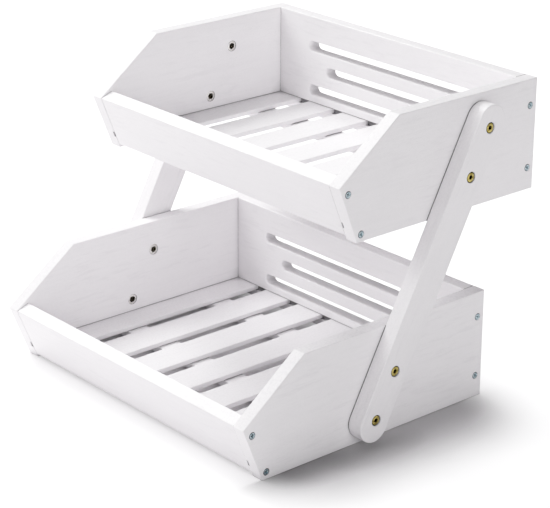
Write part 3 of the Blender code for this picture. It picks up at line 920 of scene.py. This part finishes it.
# Sleeve nuts
# Eight nickel plated nuts, pushed in from inside the trays. Each has a thin flange let in flush with the
# board, a plain barrel behind it and an open socket in which the end of the bolt shows. The socket walls,
# the rim of the flange and the end of the bolt are painted dark as shade.
nut_flange = 0.0112
nut_flange_height = 0.0015
nut_barrel = 0.0090
nut_barrel_length = 0.0100
nut_socket = 0.0066
nut_socket_depth = 0.0025
nut_chamfer = 0.0006
nut_ease = 0.00018
nickel_light = (0.95, 0.94, 0.92)
nickel_dark = (0.60, 0.56, 0.50)
nickel_depth = 0.55
nut_bright_to = 0.0053
bore_slack = 0.0003
nut_seed = 9
nickel_plate = plated_metal("nickel_plate", nickel_light, nickel_dark, plating_gloss, nut_bright_to,
                            nut_flange_height, nickel_depth)
nut = bmesh.new()
flange_radius, nut_bore = nut_flange / 2, bolt_shank / 2 + bore_slack
turned(nut, [(nut_barrel / 2, -nut_barrel_length), (nut_barrel / 2, 0.0), (flange_radius, 0.0),
             (flange_radius, nut_flange_height - nut_chamfer),
             (flange_radius - nut_ease, nut_flange_height - nut_ease),
             (flange_radius - nut_chamfer, nut_flange_height),
             (hexagon(nut_socket), nut_flange_height), (hexagon(nut_socket), -nut_socket_depth),
             (nut_bore, -nut_socket_depth), (nut_bore, -nut_barrel_length)], bolt_steps, closed=True)
drive("sleeve_nuts", nut, "nickel_plate", nickel_plate, nut_seed,
      heads_of("nut", -1, nut_flange_height))

# Wood screws
# Sixteen countersunk cross-head screws in bright zinc with a blue cast, driven flush through the side
# boards into the ends of the front and back boards.
# The rim and the cross recess of each head are painted dark as shade.
screw_head = 0.0072
screw_shank = 0.0035
screw_length = 0.0300
screw_head_height = 0.0024
screw_recess = 0.0023
screw_recess_depth = 0.0015
screw_recess_floor_share = 0.45
screw_dome = 0.0005
screw_steps = 36
zinc_light = (0.60, 0.72, 0.76)
zinc_dark = (0.16, 0.24, 0.28)
zinc_gloss = (0.16, 0.34)
screw_bright_to = 0.0028
screw_point = 0.00035
screw_taper = 0.00455
screw_seed = 17


def cross_recess(reach):
    """The radius of a four-armed screwdriver recess."""
    half_arm = reach * math.tan(math.pi / 12)

    def radius_at(angle):
        turn = angle % (math.pi / 2)
        turn = min(turn, math.pi / 2 - turn)
        if turn <= math.pi / 12:
            return reach / math.cos(turn)
        return half_arm / math.sin(turn)
    return radius_at


bright_zinc = plated_metal("bright_zinc", zinc_light, zinc_dark, zinc_gloss, screw_bright_to)
screw = bmesh.new()
turned(screw, [(screw_point, -screw_length), (screw_shank / 2, screw_taper - screw_length),
               (screw_shank / 2, -screw_head_height),
               *domed(screw_head / 2, screw_recess, screw_dome, dome_steps),
               (cross_recess(screw_recess), 0.0),
               (cross_recess(screw_recess * screw_recess_floor_share), -screw_recess_depth)], screw_steps)
drive("zinc_screws", screw, "bright_zinc", bright_zinc, screw_seed, heads_of("screw"))

# The studio
# A wide sheet of white paper with a painted shadow beside the stand and a glow, seen only by the camera,
# that makes it clean white further off. The key light and a lower one stand at the front left, soft light
# falls from above, low fills come from the right and two panels hang on the left.
floor_half, floor_squares = 9.0, 8
floor_tone = (0.965, 0.948, 0.967)
floor_cloud, floor_cloud_scale = 0.985, 2.0
paper_dull, paper_shine = 0.9, 0.1
patch_middle = (0.0, -0.025, 0.0)
patch_half = (0.190, 0.075, 0.0)
clean_from = 0.035
clean_at = 0.125
clean_glow = (0.02, 0.95)
contact_reach = 0.05
contact_lean = (-0.6, 0.0, 0.8)
contact_open = 0.35
contact_shadow_tone = (0.290, 0.281, 0.292)
contact_edge = 0.004
contact_fade = (-0.09, -0.02)
contact_rear = 0.62
surround_strength = 0.01
suns = (("key", 330, 35, 30, 0.85), ("low_front", 345, 25, 30, 0.75), ("sky", 250, 60, 40, 0.85),
        ("fill", 75, 15, 36, 1.20), ("near_fill", 45, 18, 36, 0.33), ("top", 270, 82, 40, 0.26))
panels = (("side_panel", (-1.4, 0.2, 1.5), 1.0, 46.4), ("low_panel", (-1.6, -0.4, 0.5), 0.6, 5.6))
panel_aim = Vector((0, 0, 0.1))
brightest = 1.6
shoulder = 1.0
shoulder_steps = 8
view_turn = math.radians(49.20)
view_rise = math.radians(21.496)
view_roll = math.radians(0.228)
view_distance, view_far = 2.058162, 100
view_target = Vector((0.005609, 0.009433, 0.126220))
picture_width = 550
focal_pixels = 2019.6
film_width = 36.0


def studio_floor():
    """A flat sheet of pale paper, faintly uneven, with a painted shadow close beside the stand and a glow for
    the camera that makes it clean white beyond.
    """
    solid = bmesh.new()
    bmesh.ops.create_grid(solid, x_segments=floor_squares, y_segments=floor_squares, size=floor_half)
    mesh = bpy.data.meshes.new("studio_floor")
    solid.to_mesh(mesh)
    solid.free()
    material, tree, shader = new_material("studio_paper")
    place = add_node(tree, "ShaderNodeTexCoord").outputs["Object"]
    cloud = add_node(tree, "ShaderNodeTexNoise", {"Vector": place, "Scale": floor_cloud_scale, "Detail": 2.0})
    pale = tuple(tone * floor_cloud for tone in floor_tone)
    paper = mix_colours(tree, cloud.outputs["Fac"], floor_tone, pale)
    across, inward, _ = add_node(tree, "ShaderNodeSeparateXYZ", {0: place}).outputs
    # Painted shadow: the paper right of the stand darkens where the stand closes off a hemisphere leaning
    # left, less so towards the back.
    lean = add_node(tree, "ShaderNodeCombineXYZ", dict(enumerate(contact_lean))).outputs[0]
    opened = add_node(tree, "ShaderNodeAmbientOcclusion", {"Distance": contact_reach, "Normal": lean},
                      samples=16).outputs["AO"]
    shaded = times(tree, ramp(tree, opened, contact_open, 1.0, 1.0, 0.0),
                   ramp(tree, across, patch_half[0] - contact_edge, patch_half[0]))
    shaded = times(tree, shaded, ramp(tree, inward, *contact_fade, 1.0, contact_rear))
    tree.links.new(mix_colours(tree, shaded, paper, contact_shadow_tone), shader.inputs["Base Color"])
    shader.inputs["Roughness"].default_value = paper_dull
    shader.inputs["Specular IOR Level"].default_value = paper_shine
    # Painted glow, seen only by the camera, faint near the stand and strong beyond it.
    apart = place
    for operation, other in (('SUBTRACT', patch_middle), ('ABSOLUTE', (0, 0, 0)), ('SUBTRACT', patch_half),
                             ('MAXIMUM', (0, 0, 0))):
        apart = vector_step(operation, tree, apart, other)
    reach = vector_step('LENGTH', tree, apart)
    seen = add_node(tree, "ShaderNodeLightPath").outputs["Is Camera Ray"]
    glow = times(tree, ramp(tree, reach, clean_from, clean_at, *clean_glow), seen)
    shader.inputs["Emission Color"].default_value = (1.0, 1.0, 1.0, 1.0)
    tree.links.new(glow, shader.inputs["Emission Strength"])
    mesh.materials.append(material)
    floor = bpy.data.objects.new("studio_floor", mesh)
    bpy.context.scene.collection.objects.link(floor)


def hang(lamp, place, back):
    """Hang a lamp at a place with its back the given way."""
    light = bpy.data.objects.new(lamp.name, lamp)
    light.location = place
    light.rotation_euler = back.to_track_quat('Z', 'Y').to_euler()
    bpy.context.scene.collection.objects.link(light)


def studio_light():
    """The faint surround, the suns and the two panels."""
    world = bpy.data.worlds.new("studio")
    world.use_nodes = True
    backdrop = world.node_tree.nodes["Background"]
    backdrop.inputs["Color"].default_value = (1.0, 1.0, 1.0, 1.0)
    backdrop.inputs["Strength"].default_value = surround_strength
    bpy.context.scene.world = world
    for name, turn, rise, spread, strength in suns:
        turn, rise = math.radians(turn), math.radians(rise)
        way = Vector((math.sin(turn) * math.cos(rise), -math.cos(turn) * math.cos(rise), math.sin(rise)))
        lamp = bpy.data.lights.new(name, 'SUN')
        lamp.energy = strength
        lamp.angle = math.radians(spread)
        hang(lamp, Vector((0, 0, 0)), way)
    for name, place, size, power in panels:
        lamp = bpy.data.lights.new(name, 'AREA')
        lamp.energy = power
        lamp.size = size
        hang(lamp, Vector(place), Vector(place) - panel_aim)


def camera():
    """A long lens at the front right, a little above the stand."""
    back = Vector((math.sin(view_turn) * math.cos(view_rise), -math.cos(view_turn) * math.cos(view_rise),
                   math.sin(view_rise)))
    right = Vector((math.cos(view_turn), math.sin(view_turn), 0))
    up = back.cross(right)
    across = right * math.cos(view_roll) + up * math.sin(view_roll)
    above = up * math.cos(view_roll) - right * math.sin(view_roll)
    lens = bpy.data.cameras.new("view")
    lens.sensor_width = film_width
    lens.lens = focal_pixels * film_width / picture_width
    lens.clip_end = view_far
    eye = bpy.data.objects.new("view", lens)
    turn = Matrix((across, above, back)).transposed()
    eye.matrix_world = Matrix.Translation(view_target + back * view_distance) @ turn.to_4x4()
    bpy.context.scene.collection.objects.link(eye)
    bpy.context.scene.camera = eye


def print_tones():
    """A soft shoulder over the brightest tones, so that white paint keeps its shape in strong light."""
    shown = bpy.context.scene.view_settings
    shown.view_transform = 'Standard'
    shown.use_curve_mapping = True
    tones = shown.curve_mapping
    tones.white_level = (brightest, brightest, brightest)
    curve = tones.curves[3]
    for step in range(1, shoulder_steps):
        share = step / shoulder_steps
        rise = (1 - math.exp(-shoulder * brightest * share)) / (1 - math.exp(-shoulder * brightest))
        curve.points.new(share, rise)
    tones.update()


studio_floor()
studio_light()
camera()
print_tones()
